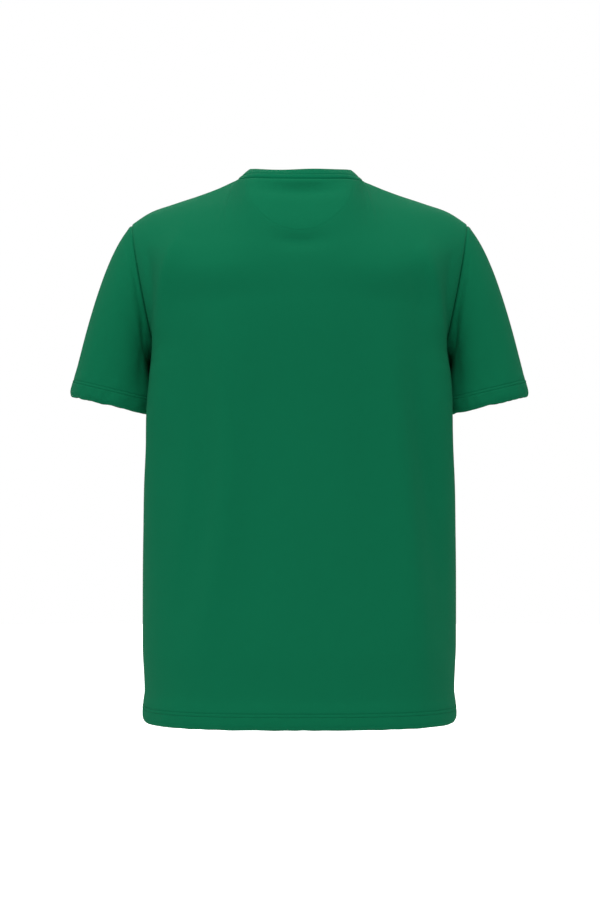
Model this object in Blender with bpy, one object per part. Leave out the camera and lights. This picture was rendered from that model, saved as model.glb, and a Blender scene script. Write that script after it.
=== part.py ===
"""Short-sleeved crew-neck T-shirt in its worn form, hollow and open.

Metres, +Z up.  The front faces -Y and the wearer's left is +X.  The origin is
midway between the two high shoulder points, where neck and shoulder seams meet.

Each sewn piece is a wall of cloth between an outer and an inner grid of points.
Rows run upwards and columns run anticlockwise seen from above, so that columns
crossed with rows point outwards.  Pieces share their points along each seam, and
each one stops half a seam gap short of it.
"""
import math

import bpy
import numpy as np

# Cloth ---------------------------------------------------------------------
WALL = 0.0015            # one layer of jersey, with its air
HEM_WALL = 0.0024        # folded hem
HEM_STEP = 0.0006        # how far a hem stands proud of the cloth above it
BAND_WALL = 0.0026       # folded rib of the neck band
PATCH_WALL = 0.0012      # half-moon inside the back neck
SEAM_GAP = 0.0003        # between pieces that are sewn together
LAY_GAP = 0.0008         # between the half-moon and the panel it lies on

# Levels and widths -----------------------------------------------------------
HEM_Z = -0.694
HEM_HEIGHT = 0.020
HEM_SLOPE = 0.0015       # height over which a hem steps out
ARMPIT = (0.183, 0.0, -0.228)
SHOULDER_TIP = (0.217, -0.010, -0.058)
ARMHOLE_DEPTH = 0.060    # how far the armhole bows back, and forward
LOFT_UNIT = 0.25         # cloth length, armpit level to shoulder, behind one unit of w

# Neck seam -------------------------------------------------------------------
NECK_HALF_WIDTH = 0.081
NECK_POINT_Y = 0.008     # high shoulder point
NECK_BACK = (0.076, -0.0065)     # y, z at centre back
NECK_FRONT = (-0.062, -0.076)    # y, z at centre front
NECK_DROP_POWER = (1.5, 1.2)      # how the edge falls from high point to centre, back and front

# Neck band, top edge ---------------------------------------------------------
BAND_HALF_WIDTH = 0.0645
BAND_BACK = (0.061, 0.0050)
BAND_POINT = (0.011, 0.0125)
BAND_FRONT = (-0.053, -0.060)
BAND_CROWN = 0.0012      # how far the band rounds out between its edges

# Half-moon -------------------------------------------------------------------
PATCH_TOP_DROP = 0.004   # below the neck seam
PATCH_DEPTH = 0.080      # at centre back
PATCH_REACH = 0.690      # share of the back neck seam, from its centre, that it takes up
PATCH_ROUND = 2.2        # squareness of its lower edge
PATCH_TIP = 0.985        # where its narrow ends are cut off, as a share of its reach

# Sleeves ---------------------------------------------------------------------
CUFF_CENTRE = (0.2450, 0.000, -0.2910)
CUFF_HALF = (0.0522, 0.064)      # across, and front to back
CUFF_ROUND = 2.5         # squareness of its outline
CUFF_TILT = math.radians(13.5)
CUFF_HEM_HEIGHT = 0.018
SLEEVE_LEAN = math.radians(14)   # axis of the lower sleeve from vertical

# Body sections below the armpit, from hem to armpit --------------------------
# z, half width, back depth, front depth, back and front squareness, side pinch
BODY_SECTIONS = (
    (HEM_Z, 0.2010, 0.130, 0.121, 2.8, 2.5, 0.000),
    (-0.580, 0.2015, 0.127, 0.119, 2.8, 2.4, 0.000),
    (-0.460, 0.2038, 0.124, 0.119, 2.8, 2.4, 0.003),
    (-0.360, 0.2062, 0.123, 0.121, 2.8, 2.5, 0.0085),
    (-0.290, 0.2070, 0.124, 0.124, 2.9, 2.7, 0.0180),
    (ARMPIT[2], 0.2030, 0.1265, 0.126, 2.9, 2.8, 0.0200),
)
PINCH_REACH = 0.055      # how far round from the side the pinch is felt

# Sections across the armholes ------------------------------------------------
# w on the armhole, z and depth at centre, squareness, roundness, side pinch
UPPER_BACK_SECTIONS = (
    (0.18, -0.195, 0.1275, 2.6, 0.42, 0.0155),
    (0.36, -0.160, 0.1270, 2.4, 0.50, 0.004),
    (0.70, -0.092, 0.1165, 2.6, 0.80, 0.000),
)
UPPER_FRONT_SECTIONS = (
    (0.18, -0.207, -0.1255, 2.5, 0.44, 0.013),
    (0.36, -0.182, -0.1225, 2.3, 0.52, 0.004),
    (0.70, -0.125, -0.1000, 2.3, 0.85, 0.000),
)

ARMHOLE_EASE = 0.55      # column where the cloth starts to bend to the armhole line
NECK_LEAN_BACK = (0.0, -0.22, 0.26)      # pull of the cloth up to the neck seam
NECK_LEAN_FRONT = (0.0, 0.17, 0.25)
SHOULDER_PULL = 0.36                     # pull over the shoulder seam
POINT_PULL = (-0.11, 0.34, 0.045)        # pull at the high point, in from both panels

# Where the cloth is eased smooth: column, row, reach across, reach up, share -----
EASED_PLACES = (
    (0.90, 0.06, 0.30, 0.22, 0.60),      # round the armpit
    (0.46, 0.85, 0.16, 0.22, 0.50),      # below the high point
)
EASE_STEPS = 12

# Shoulder seam from neck to tip: x, z -----------------------------------------
SHOULDER_SEAM = (
    (NECK_HALF_WIDTH, 0.000),
    (0.095, -0.0073),
    (0.128, -0.0203),
    (0.161, -0.0313),
    (0.195, -0.0435),
    (SHOULDER_TIP[0], SHOULDER_TIP[2]),
)

# Lines of the sleeve from armhole to cuff ------------------------------------
# place on armhole: start direction x, y, z, start pull, end pull
SLEEVE_LINES = (
    (0.0, 0.68, 0.00, -0.73, 0.136, 0.360),      # over the shoulder
    (0.5, 0.66, 0.22, -0.72, 0.130, 0.200),      # back and front of the arm
    (1.0, 0.84, 0.00, -0.54, 0.062, 0.060),      # underarm
)

# Largest folds: x and z of start, middle and end, rise, half width --------------
BACK_FOLDS = (
    (0.150, -0.075, 0.172, -0.150, 0.184, -0.320, 0.0055, 0.016),     # left ridge
    (0.192, -0.090, 0.190, -0.150, 0.186, -0.215, -0.0040, 0.015),    # left valley
    (-0.148, -0.090, -0.170, -0.150, -0.183, -0.300, 0.0050, 0.016),  # right ridge
    (-0.192, -0.090, -0.190, -0.150, -0.186, -0.215, -0.0040, 0.015),
    (-0.138, -0.100, -0.150, -0.150, -0.158, -0.210, -0.0030, 0.016),
    (-0.106, -0.180, -0.150, -0.340, -0.180, -0.600, -0.0040, 0.020),
    (0.130, -0.200, 0.165, -0.400, 0.160, -0.640, -0.0025, 0.022),
)
FRONT_FOLDS = (
    (0.165, -0.215, 0.135, -0.290, 0.125, -0.420, -0.0050, 0.018),
    (-0.168, -0.220, -0.130, -0.300, -0.118, -0.440, -0.0050, 0.018),
    (0.160, -0.170, 0.110, -0.215, 0.050, -0.240, -0.0030, 0.016),
    (-0.160, -0.165, -0.105, -0.210, -0.045, -0.235, -0.0030, 0.016),
)
FOLD_MARGIN = 0.20       # stretch of columns and rows by a seam that folds leave alone
FOLD_END = 0.04
FOLD_SAMPLES = 25

# How finely each piece is divided ---------------------------------------------
NECK_COLUMNS = 8
SHOULDER_COLUMNS = 10
ARMHOLE_ROWS = 14
BODY_ROWS = 17
SLEEVE_ROWS = 11
BAND_ROWS = 3
PATCH_ROWS = 5
PATCH_COLUMNS = 12
CURVE_SAMPLES = 400
SEAM_SLACK = 0.00002     # rounding of 32-bit points
SHARP_ANGLE = math.radians(50)
MOST_STRETCH = 1.5


# Curves ------------------------------------------------------------------------
def smoothstep(t):
    t = np.clip(t, 0.0, 1.0)
    return t * t * (3.0 - 2.0 * t)


def hermite(start, start_pull, end, end_pull, t):
    """Cubic from start to end that leaves and arrives along the two pulls."""
    return ((2 * t**3 - 3 * t**2 + 1) * start + (t**3 - 2 * t**2 + t) * start_pull
            + (3 * t**2 - 2 * t**3) * end + (t**3 - t**2) * end_pull)


def through(knots, values, at, end_slope=None):
    """Smooth curve through values at knots, read at the given places."""
    knots = np.asarray(knots, float)
    values = np.asarray(values, float)
    steps = np.diff(knots).reshape((-1,) + (1,) * (values.ndim - 1))
    chords = np.diff(values, axis=0) / steps
    slopes = np.empty_like(values)
    slopes[1:-1] = (chords[:-1] * steps[1:] + chords[1:] * steps[:-1]) / (steps[1:] + steps[:-1])
    slopes[0] = 1.5 * chords[0] - 0.5 * slopes[1]
    slopes[-1] = 1.5 * chords[-1] - 0.5 * slopes[-2] if end_slope is None else end_slope
    at = np.asarray(at, float)
    k = np.clip(np.searchsorted(knots, at, side="right") - 1, 0, len(knots) - 2)
    span = steps[k]
    t = (at - knots[k]).reshape((-1,) + (1,) * (values.ndim - 1)) / span
    return hermite(values[k], slopes[k] * span, values[k + 1], slopes[k + 1] * span, t)


def spaced(points, fractions):
    """Points at the given fractions of a fine polyline's length."""
    length = np.concatenate(([0.0], np.cumsum(np.linalg.norm(np.diff(points, axis=0), axis=1))))
    return np.column_stack([np.interp(fractions * length[-1], length, points[:, i]) for i in range(3)])


def unit(vectors):
    return vectors / np.linalg.norm(vectors, axis=-1, keepdims=True)


# Seam lines ----------------------------------------------------------------------
def armhole(w, facing):
    """Half of the left armhole, from armpit (w 0) to shoulder tip (w 1).

    Height and width follow a smooth step, while the line bows back (facing +1) or
    forward (facing -1) as a parabola.
    """
    rise = smoothstep(w)[:, None]
    line = (1 - rise) * np.array(ARMPIT) + rise * np.array(SHOULDER_TIP)
    line[:, 1] += facing * 4 * ARMHOLE_DEPTH * w * (1 - w)
    return line


def neck_curve(half_width, point, centre, power):
    """Quarter of a neck edge, centre line to high point: an ellipse seen from above."""
    angle = np.linspace(0.0, math.pi / 2, CURVE_SAMPLES)
    reach = np.cos(angle)
    return np.column_stack((
        half_width * np.sin(angle),
        point[0] + (centre[0] - point[0]) * reach,
        point[1] + (centre[1] - point[1]) * np.abs(reach) ** power,
    ))


def neck_seam(facing):
    side = 0 if facing > 0 else 1
    centre = (NECK_BACK, NECK_FRONT)[side]
    return neck_curve(NECK_HALF_WIDTH, (NECK_POINT_Y, 0.0), centre, NECK_DROP_POWER[side])


def band_edge(facing):
    side = 0 if facing > 0 else 1
    centre = (BAND_BACK, BAND_FRONT)[side]
    return neck_curve(BAND_HALF_WIDTH, BAND_POINT, centre, NECK_DROP_POWER[side])


def shoulder_seam():
    """Left shoulder seam, high point to tip."""
    table = np.array(SHOULDER_SEAM)
    x = np.linspace(table[0, 0], table[-1, 0], CURVE_SAMPLES)
    along = (x - x[0]) / (x[-1] - x[0])
    y = NECK_POINT_Y + (SHOULDER_TIP[1] - NECK_POINT_Y) * along
    return np.column_stack((x, y, through(table[:, 0], table[:, 1], x)))


# Front and back --------------------------------------------------------------------
def half_section(centre, side, square, round_off, pinch):
    """Half of one section, centre line to side: a superellipse, pinched in at the side.

    The width follows sine and the depth cosine, each raised to its own power, and the
    pinch is a flat bell curve about the line down the side.
    """
    angle = np.linspace(0.0, math.pi / 2, CURVE_SAMPLES)
    across = np.sin(angle) ** (2 / square)
    y = side[1] + (centre[0] - side[1]) * np.abs(np.cos(angle)) ** (2 * round_off)
    x = (side[0] + pinch * pinch_bell(side[1])) * across - pinch * pinch_bell(y)
    z = centre[1] + (side[2] - centre[1]) * across ** 2
    return np.column_stack((x, y, z))


def pinch_bell(y):
    return np.exp(-(y / PINCH_REACH) ** 4)


def body_section(row, facing):
    """Half of one level section below the armpit."""
    z, half_width, back_depth, front_depth, back_square, front_square, pinch = row
    depth, square = (back_depth, back_square) if facing > 0 else (-front_depth, front_square)
    return half_section((depth, z), (half_width - pinch, 0.0, z), square, 1 / square, pinch)


def upper_section(row, facing):
    """Half of one section between the armholes."""
    w, z, depth, square, round_off, pinch = row
    end = armhole(np.array([w]), facing)[0]
    return half_section((depth, z), end, square, round_off, pinch)


def panel_columns(facing):
    """Places of the columns from centre to side, and where the neck ends among them."""
    neck = np.linalg.norm(np.diff(neck_seam(facing), axis=0), axis=1).sum()
    shoulder = np.linalg.norm(np.diff(shoulder_seam(), axis=0), axis=1).sum()
    turn = neck / (neck + shoulder)
    return np.concatenate((
        np.linspace(0.0, turn, NECK_COLUMNS + 1),
        np.linspace(turn, 1.0, SHOULDER_COLUMNS + 1)[1:],
    ))


def panel_rows():
    """Places of the rows: below 0 they count down from the armpit, 0 to 1 is the armhole."""
    hem_top = HEM_Z + HEM_HEIGHT
    levels = np.concatenate((
        [HEM_Z, hem_top - HEM_SLOPE, hem_top],
        np.linspace(hem_top, ARMPIT[2], BODY_ROWS)[1:-1],
    ))
    return np.concatenate(((levels - ARMPIT[2]) / LOFT_UNIT,
                           np.linspace(0.0, 1.0, ARMHOLE_ROWS + 1)))


def half_panel(facing):
    """Left half of the front or back: sections joined by smooth curves up the cloth."""
    columns = panel_columns(facing)
    rows = panel_rows()
    knots = []
    sections = []
    for row in BODY_SECTIONS:
        knots.append((row[0] - ARMPIT[2]) / LOFT_UNIT)
        sections.append(spaced(body_section(row, facing), columns))
    for row in UPPER_BACK_SECTIONS if facing > 0 else UPPER_FRONT_SECTIONS:
        knots.append(row[0])
        sections.append(spaced(upper_section(row, facing), columns))
    neck = spaced(neck_seam(facing), np.linspace(0.0, 1.0, NECK_COLUMNS + 1))
    shoulder = spaced(shoulder_seam(), np.linspace(0.0, 1.0, SHOULDER_COLUMNS + 1))
    knots.append(1.0)
    sections.append(np.vstack((neck, shoulder[1:])))

    # The cloth leans in to the neck and crosses the shoulder seam level, and turns
    # from one to the other round the high point, where it keeps the seams' own plane.
    at_neck = np.array(NECK_LEAN_BACK if facing > 0 else NECK_LEAN_FRONT)
    at_point = np.array(POINT_PULL) * (1, -facing, 1)
    over = np.array((0.0, -facing * SHOULDER_PULL, 0.0))
    point = columns[NECK_COLUMNS]
    round_neck = smoothstep(columns / point)[:, None]
    along_shoulder = smoothstep((columns - point) / (1 - point) * 2)[:, None]
    arrival = (1 - round_neck) * at_neck + (round_neck - along_shoulder) * at_point + along_shoulder * over
    grid = through(knots, sections, rows, arrival)

    # Meet the neck, the shoulder, the armhole and the side seam exactly.
    grid[-1] = sections[-1]
    edge = side_line(rows, facing)
    ease = smoothstep((columns - ARMHOLE_EASE) / (1 - ARMHOLE_EASE))[:, None]
    grid += (edge - grid[:, -1])[:, None, :] * ease
    grid[:, -1] = edge
    return grid


def side_line(rows, facing):
    """Side seam below the armpit and armhole above it."""
    knots = [(row[0] - ARMPIT[2]) / LOFT_UNIT for row in BODY_SECTIONS]
    ends = [(row[1] - row[6], 0.0, row[0]) for row in BODY_SECTIONS]
    seam = through(knots, ends, rows[rows < 0])
    return np.concatenate((seam, armhole(rows[rows >= 0], facing)))


def fold_height(points, folds):
    """Sum of soft ridges and troughs, each along a curve through three places in x, z."""
    height = np.zeros(points.shape[:-1])
    t = np.linspace(0.0, 1.0, FOLD_SAMPLES)[:, None]
    for x1, z1, x2, z2, x3, z3, rise, width in folds:
        start, middle, end = np.array((x1, z1)), np.array((x2, z2)), np.array((x3, z3))
        line = (1 - t) ** 2 * start + 2 * t * (1 - t) * (2 * middle - (start + end) / 2) + t ** 2 * end
        away = np.linalg.norm(points[..., None, ::2] - line, axis=-1)
        nearest = away.argmin(axis=-1)
        fade = np.sin(math.pi * (FOLD_END + (1 - 2 * FOLD_END) * t[nearest, 0]))
        height += rise * fade * np.exp(-(away.min(axis=-1) / width) ** 2)
    return height


def panel(facing):
    """Whole front or back: the left half mirrored, with its folds pressed in."""
    half = half_panel(facing)
    other = half * (-1, 1, 1)
    if facing > 0:
        grid = np.concatenate((half[:, ::-1], other[:, 1:]), axis=1)
    else:
        grid = np.concatenate((other[:, ::-1], half[:, 1:]), axis=1)
    columns = panel_columns(facing)
    across = np.concatenate((columns[::-1], columns[1:]))[None, :]
    rows = panel_rows()[:, None]
    ease_cloth(grid, across, rows)
    calm = smoothstep((1 - across) / FOLD_MARGIN) * smoothstep((1 - rows) / FOLD_MARGIN)
    folds = BACK_FOLDS if facing > 0 else FRONT_FOLDS
    return grid + (fold_height(grid, folds) * calm)[..., None] * normals(grid)


def ease_cloth(grid, across, rows):
    """Draw points towards the mean of their four neighbours at the eased places."""
    share = np.zeros(grid.shape[:2])
    for column, row, reach_across, reach_up, most in EASED_PLACES:
        away = ((across - column) / reach_across) ** 2 + ((rows - row) / reach_up) ** 2
        share = np.maximum(share, most * np.exp(-away))
    share = share[1:-1, 1:-1, None]
    for _ in range(EASE_STEPS):
        mean = (grid[:-2, 1:-1] + grid[2:, 1:-1] + grid[1:-1, :-2] + grid[1:-1, 2:]) / 4
        grid[1:-1, 1:-1] += share * (mean - grid[1:-1, 1:-1])


# Sleeves and neck band ---------------------------------------------------------------
def sleeve_rows(line):
    """Rows up one line of the sleeve: cuff edge, top of the hem, then evenly spaced."""
    length = np.concatenate(([0.0], np.cumsum(np.linalg.norm(np.diff(line, axis=0), axis=1))))
    at = np.concatenate((
        [0.0, CUFF_HEM_HEIGHT - HEM_SLOPE],
        np.linspace(CUFF_HEM_HEIGHT, length[-1], SLEEVE_ROWS),
    ))
    return spaced(line, at / length[-1])


def sleeve():
    """Left sleeve, a tube of cubic curves from the armhole to the tilted cuff.

    Columns start over the shoulder and go round by the back of the arm.
    """
    t = np.linspace(1.0, 0.0, CURVE_SAMPLES)[:, None, None]
    w = np.linspace(1.0, 0.0, ARMHOLE_ROWS + 1)
    table = np.array(SLEEVE_LINES)
    pulls = through(table[:, 0], table[:, 1:], 1 - w)
    angle = np.linspace(0.0, math.pi, CURVE_SAMPLES)
    cuff_across = CUFF_HALF[0] * np.sign(np.cos(angle)) * np.abs(np.cos(angle)) ** (2 / CUFF_ROUND)
    cuff_deep = CUFF_HALF[1] * np.sin(angle) ** (2 / CUFF_ROUND)
    lean = np.array((math.sin(SLEEVE_LEAN), 0.0, -math.cos(SLEEVE_LEAN)))
    halves = []
    for facing in (1, -1):
        top = armhole(w, facing)
        length = np.concatenate(([0.0], np.cumsum(np.linalg.norm(np.diff(top, axis=0), axis=1))))
        cuff = np.array(CUFF_CENTRE) + np.column_stack((
            cuff_across * math.cos(CUFF_TILT), facing * cuff_deep, cuff_across * math.sin(CUFF_TILT),
        ))
        cuff = spaced(cuff, length / length[-1])
        start = unit(pulls[:, :3] * (1, facing, 1)) * pulls[:, 3:4]
        end = lean * pulls[:, 4:5]
        lines = hermite(top, start, cuff, end, t)
        halves.append(np.stack([sleeve_rows(lines[:, i]) for i in range(len(w))], axis=1))
        halves[-1][-1] = top
    return np.concatenate((halves[0], halves[1][:, -2:0:-1]), axis=1)


def band():
    """Neck band, seam to top edge, from the left high point round by the back."""
    fractions = np.linspace(0.0, 1.0, NECK_COLUMNS + 1)
    loops = []
    for edge in (neck_seam, band_edge):
        back, front = spaced(edge(1), fractions), spaced(edge(-1), fractions)
        mirrored = (-1, 1, 1)
        loops.append(np.concatenate((
            back[::-1], (back * mirrored)[1:],
            (front * mirrored)[-2::-1], front[1:-1],
        )))
    t = np.linspace(0.0, 1.0, BAND_ROWS + 1)[:, None, None]
    grid = (1 - t) * loops[0] + t * loops[1]
    return grid + BAND_CROWN * np.sin(math.pi * t) * normals(grid, wraps=True)


def half_moon(inside, normal):
    """Outer points of the half-moon, read between the columns of the back's inner grid."""
    centre = inside.shape[1] // 2
    turn = np.linspace(-math.pi / 2, math.pi / 2, PATCH_COLUMNS + 1)
    t = np.linspace(1.0, 0.0, PATCH_ROWS + 1)
    columns = []
    for across in PATCH_TIP * np.sin(turn):
        column = centre + across * PATCH_REACH * NECK_COLUMNS
        low = math.floor(column)
        part = column - low
        line = (1 - part) * inside[::-1, low] + part * inside[::-1, low + 1]
        lean = (1 - part) * normal[::-1, low] + part * normal[::-1, low + 1]
        length = np.concatenate(([0.0], np.cumsum(np.linalg.norm(np.diff(line, axis=0), axis=1))))
        depth = PATCH_DEPTH * (1 - abs(across) ** PATCH_ROUND) ** (1 / PATCH_ROUND)
        at = PATCH_TOP_DROP + (depth - PATCH_TOP_DROP) * t
        point = np.column_stack([np.interp(at, length, line[:, i]) for i in range(3)])
        out = unit(np.column_stack([np.interp(at, length, lean[:, i]) for i in range(3)]))
        columns.append(np.concatenate((point - LAY_GAP * out, out), axis=1))
    grid = np.stack(columns, axis=1)
    return grid[..., :3], grid[..., 3:]


# Walls ---------------------------------------------------------------------------------
def normals(grid, wraps=False):
    """Unit normals of a grid, from the directions of its columns and rows."""
    if wraps:
        along = np.roll(grid, -1, axis=1) - np.roll(grid, 1, axis=1)
    else:
        along = np.gradient(grid, axis=1)
    return unit(np.cross(along, np.gradient(grid, axis=0)))


def share_seam_normals(pieces):
    """Give points of different pieces that are sewn together one common normal."""
    points = np.concatenate([piece["outside"].reshape(-1, 3) for piece in pieces])
    leans = np.concatenate([piece["normal"].reshape(-1, 3) for piece in pieces])
    _, group = np.unique(np.round(points, 6), axis=0, return_inverse=True)
    group = group.ravel()
    total = np.zeros((group.max() + 1, 3))
    np.add.at(total, group, leans)
    shared = unit(total[group])
    start = 0
    for piece in pieces:
        count = piece["normal"].size // 3
        own = piece["normal"].reshape(-1, 3)
        common = shared[start:start + count]
        piece["stretch"] = (1 / (own * common).sum(axis=1)).reshape(piece["normal"].shape[:2] + (1,))
        piece["normal"] = common.reshape(piece["normal"].shape)
        start += count


def draw_back(grid, edge, axis, wraps=False):
    """Move one edge of a grid into its piece by half the seam gap, square to the seam."""
    inner = 1 if edge == 0 else -2
    line = np.take(grid, edge, axis=axis)
    into = np.take(grid, inner, axis=axis) - line
    if wraps:
        seam = unit(np.roll(line, -1, axis=0) - np.roll(line, 1, axis=0))
    else:
        seam = unit(np.gradient(line, axis=0))
    into -= (into * seam).sum(axis=1, keepdims=True) * seam
    moved = line + unit(into) * (SEAM_GAP / 2 + SEAM_SLACK)
    if axis == 0:
        grid[edge] = moved
    else:
        grid[:, edge] = moved


def wall_faces(outside, wraps):
    """Triangles of an outer grid, the same ones on its inner grid, and the rims between.

    Each cell is cut along its shorter diagonal, outside and inside alike, so that the
    two faces of the cloth stay parallel.
    """
    rows, cols = outside.shape[:2]
    count = rows * cols
    index = np.arange(count).reshape(rows, cols)
    if wraps:
        index = np.hstack((index, index[:, :1]))
    a, b = index[:-1, :-1].ravel(), index[:-1, 1:].ravel()
    d, c = index[1:, :-1].ravel(), index[1:, 1:].ravel()
    points = outside.reshape(-1, 3)
    rising = np.linalg.norm(points[a] - points[c], axis=1) <= np.linalg.norm(points[b] - points[d], axis=1)
    first = np.where(rising[:, None], np.stack((a, b, c), axis=1), np.stack((a, b, d), axis=1))
    second = np.where(rising[:, None], np.stack((a, c, d), axis=1), np.stack((b, c, d), axis=1))
    outer = np.concatenate((first, second))
    faces = [outer, outer[:, ::-1] + count]
    if wraps:
        rims = [index[0], index[-1, ::-1]]
    else:
        rims = [np.concatenate((index[0], index[1:, -1], index[-1, -2::-1], index[-2::-1, 0]))]
    for rim in rims:
        start, end = rim[:-1], rim[1:]
        faces.append(np.stack((end, start, start + count), axis=1))
        faces.append(np.stack((end, start + count, end + count), axis=1))
    return np.concatenate(faces)


def cloth(name, outside, inside, material, wraps=False):
    """One sewn piece as a closed mesh object."""
    points = np.concatenate((outside.reshape(-1, 3), inside.reshape(-1, 3)))
    mesh = bpy.data.meshes.new(name)
    mesh.from_pydata(points.tolist(), [], wall_faces(outside, wraps).tolist())
    mesh.materials.append(material)
    mesh.shade_smooth()
    mesh.set_sharp_from_angle(angle=SHARP_ANGLE)
    mesh.validate()
    bpy.context.scene.collection.objects.link(bpy.data.objects.new(name, mesh))


def fabric(name, colour, roughness):
    material = bpy.data.materials.new(name)
    material.use_nodes = True
    shader = material.node_tree.nodes["Principled BSDF"]
    shader.inputs["Base Color"].default_value = (*colour, 1.0)
    shader.inputs["Roughness"].default_value = roughness
    shader.inputs["Metallic"].default_value = 0.0
    return material


# The garment ---------------------------------------------------------------------------
def make_garment():
    left = sleeve()
    pieces = [
        {"name": "back_panel", "outside": panel(1)},
        {"name": "front_panel", "outside": panel(-1)},
        {"name": "sleeve_left", "outside": left, "wraps": True},
        {"name": "sleeve_right", "outside": left[:, ::-1] * (-1, 1, 1), "wraps": True},
        {"name": "collar_band", "outside": band(), "wraps": True},
    ]
    for piece in pieces:
        piece["normal"] = normals(piece["outside"], piece.get("wraps", False))
    share_seam_normals(pieces)

    jersey = fabric("green_jersey", (0.0080, 0.1700, 0.0800), 0.85)
    rib = fabric("green_rib", (0.0085, 0.1750, 0.0830), 0.88)
    for piece in pieces:
        name, outside, normal = piece["name"], piece["outside"], piece["normal"]
        wraps = piece.get("wraps", False)
        banded = name == "collar_band"
        wall = np.full(outside.shape[:2] + (1,), BAND_WALL if banded else WALL)
        if not banded:
            outside[:2] += HEM_STEP * normal[:2]
            wall[:2] = HEM_WALL
        draw_back(outside, 0 if banded else -1, 0, wraps)
        if not wraps:
            draw_back(outside, 0, 1)
            draw_back(outside, -1, 1)
        inside = outside - wall * np.minimum(piece["stretch"], MOST_STRETCH) * normal
        cloth(name, outside, inside, rib if banded else jersey, wraps)
        if name == "back_panel":
            top, lean = half_moon(inside, normal)
            cloth("back_neck_patch", top, top - PATCH_WALL * lean, jersey)


def main():
    for old in list(bpy.data.objects):
        bpy.data.objects.remove(old)
    make_garment()


main()
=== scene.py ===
"""Looks of a green short-sleeved crew-neck T-shirt, hollow and in its worn form.

Metres, +Z up.  The front faces -Y and the wearer's left is +X.  Every cut piece is a
thin shell of cloth on the form of its solid: a grid of points worked out from the same
sections and seam lines, much finer, with creases, hems and sewn edges raised along the
cloth's normals.  Rows run upwards and columns run anticlockwise seen from above.
"""
import math

import bpy
import numpy as np
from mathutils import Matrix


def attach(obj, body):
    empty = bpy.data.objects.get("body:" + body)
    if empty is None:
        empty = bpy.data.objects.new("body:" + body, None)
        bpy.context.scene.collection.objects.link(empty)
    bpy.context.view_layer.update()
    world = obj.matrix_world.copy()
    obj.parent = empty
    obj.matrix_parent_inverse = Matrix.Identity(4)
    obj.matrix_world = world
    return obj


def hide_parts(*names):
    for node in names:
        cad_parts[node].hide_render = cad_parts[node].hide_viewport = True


# Cloth -----
JERSEY = 0.0011  # one layer of jersey
HEM_FOLD = 0.0010  # the layer turned up inside a hem
HEM_STEP = 0.0006  # how far a hem stands proud
HEM_STEP_WIDTH = 0.0006
FOLD_BELOW = 0.0012  # distance below the upper needle row where the turned-up layer ends
FOLD_WIDTH = 0.0008
RIB = 0.0026  # folded rib of the neck band
PATCH = 0.0009  # half-moon inside the back neck
LAY_GAP = 0.0002  # between the half-moon and the panel it lies on

# Form of the garment, as in the solids -----
HEM_Z = -0.694
HEM_HEIGHT = 0.020
HEM_SLOPE = 0.0015
ARMPIT = (0.183, 0.0, -0.228)
SHOULDER_TIP = (0.217, -0.010, -0.058)
ARMHOLE_DEPTH = 0.060
MIRROR = (-1, 1, 1)
LOFT_UNIT = 0.25  # cloth length behind one unit of w, armpit level to shoulder

NECK_HALF_WIDTH = 0.081
NECK_POINT_Y = 0.008
# In this table and all others like it, 1 is the back and -1 the front
NECK_MIDDLES = {1: (0.076, -0.0065), -1: (-0.062, -0.076)}
NECK_POWERS = {1: 1.5, -1: 1.2}
BAND_HALF_WIDTH = 0.0645
BAND_POINT = (0.011, 0.0125)
BAND_MIDDLES = {1: (0.061, 0.0050), -1: (-0.053, -0.060)}
BAND_CROWN = 0.0012
BAND_RISE_X = -0.016  # where its top edge stands higher at the back
BAND_RISE = 0.0030
BAND_RISE_WIDTH = 0.034
NECK_TILT = 0.0125  # rise of the worn neck for each metre to the wearer's left
NECK_SHIFT = 0.0012
NECK_TILT_Z = 0.012  # height below the origin where both die out
NECK_DIP = 0.0026  # how far the neck seam sinks at both sides
NECK_DIP_X = (0.055, 0.020)
NECK_DIP_Z = (0.004, 0.008)

PATCH_TOP_DROP = 0.004
PATCH_DEPTH = 0.080
PATCH_REACH = 0.690  # share of the back neck seam, from its centre, that it takes up
PATCH_ROUND = 2.2

CUFF_CENTRE = (0.2450, 0.000, -0.2910)
CUFF_HALF = (0.0522, 0.064)
CUFF_ROUND = 2.5
CUFF_TILT = math.radians(13.5)
SLEEVE_LEAN = math.radians(14)

# z, half width, back depth, front depth, back and front squareness, side pinch
BODY_SECTIONS = (
    (HEM_Z, 0.2010, 0.130, 0.121, 2.8, 2.5, 0.000),
    (-0.580, 0.2015, 0.127, 0.119, 2.8, 2.4, 0.000),
    (-0.460, 0.2038, 0.124, 0.119, 2.8, 2.4, 0.003),
    (-0.360, 0.2062, 0.123, 0.121, 2.8, 2.5, 0.0085),
    (-0.290, 0.2070, 0.124, 0.124, 2.9, 2.7, 0.0180),
    (ARMPIT[2], 0.2030, 0.1265, 0.126, 2.9, 2.8, 0.0200),
)
PINCH_REACH = 0.055

# w on the armhole, z and depth at centre, squareness, roundness, side pinch
UPPER_SECTIONS = {1: (
    (0.18, -0.195, 0.1275, 2.6, 0.42, 0.0155),
    (0.36, -0.160, 0.1270, 2.4, 0.50, 0.004),
    (0.70, -0.092, 0.1165, 2.6, 0.80, 0.000),
), -1: (
    (0.18, -0.207, -0.1255, 2.5, 0.44, 0.013),
    (0.36, -0.182, -0.1225, 2.3, 0.52, 0.004),
    (0.70, -0.125, -0.1000, 2.3, 0.85, 0.000),
)}
ARMHOLE_EASE = 0.55
NECK_LEANS = {1: (0.0, -0.22, 0.26), -1: (0.0, 0.17, 0.25)}
SHOULDER_PULL = 0.36
POINT_PULL = (-0.11, 0.34, 0.045)

# column, row, reach across, reach up, share
EASED_PLACES = (
    (0.90, 0.06, 0.30, 0.22, 0.60),
    (0.46, 0.85, 0.16, 0.22, 0.50),
)
EASE_STEPS = 12

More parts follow.
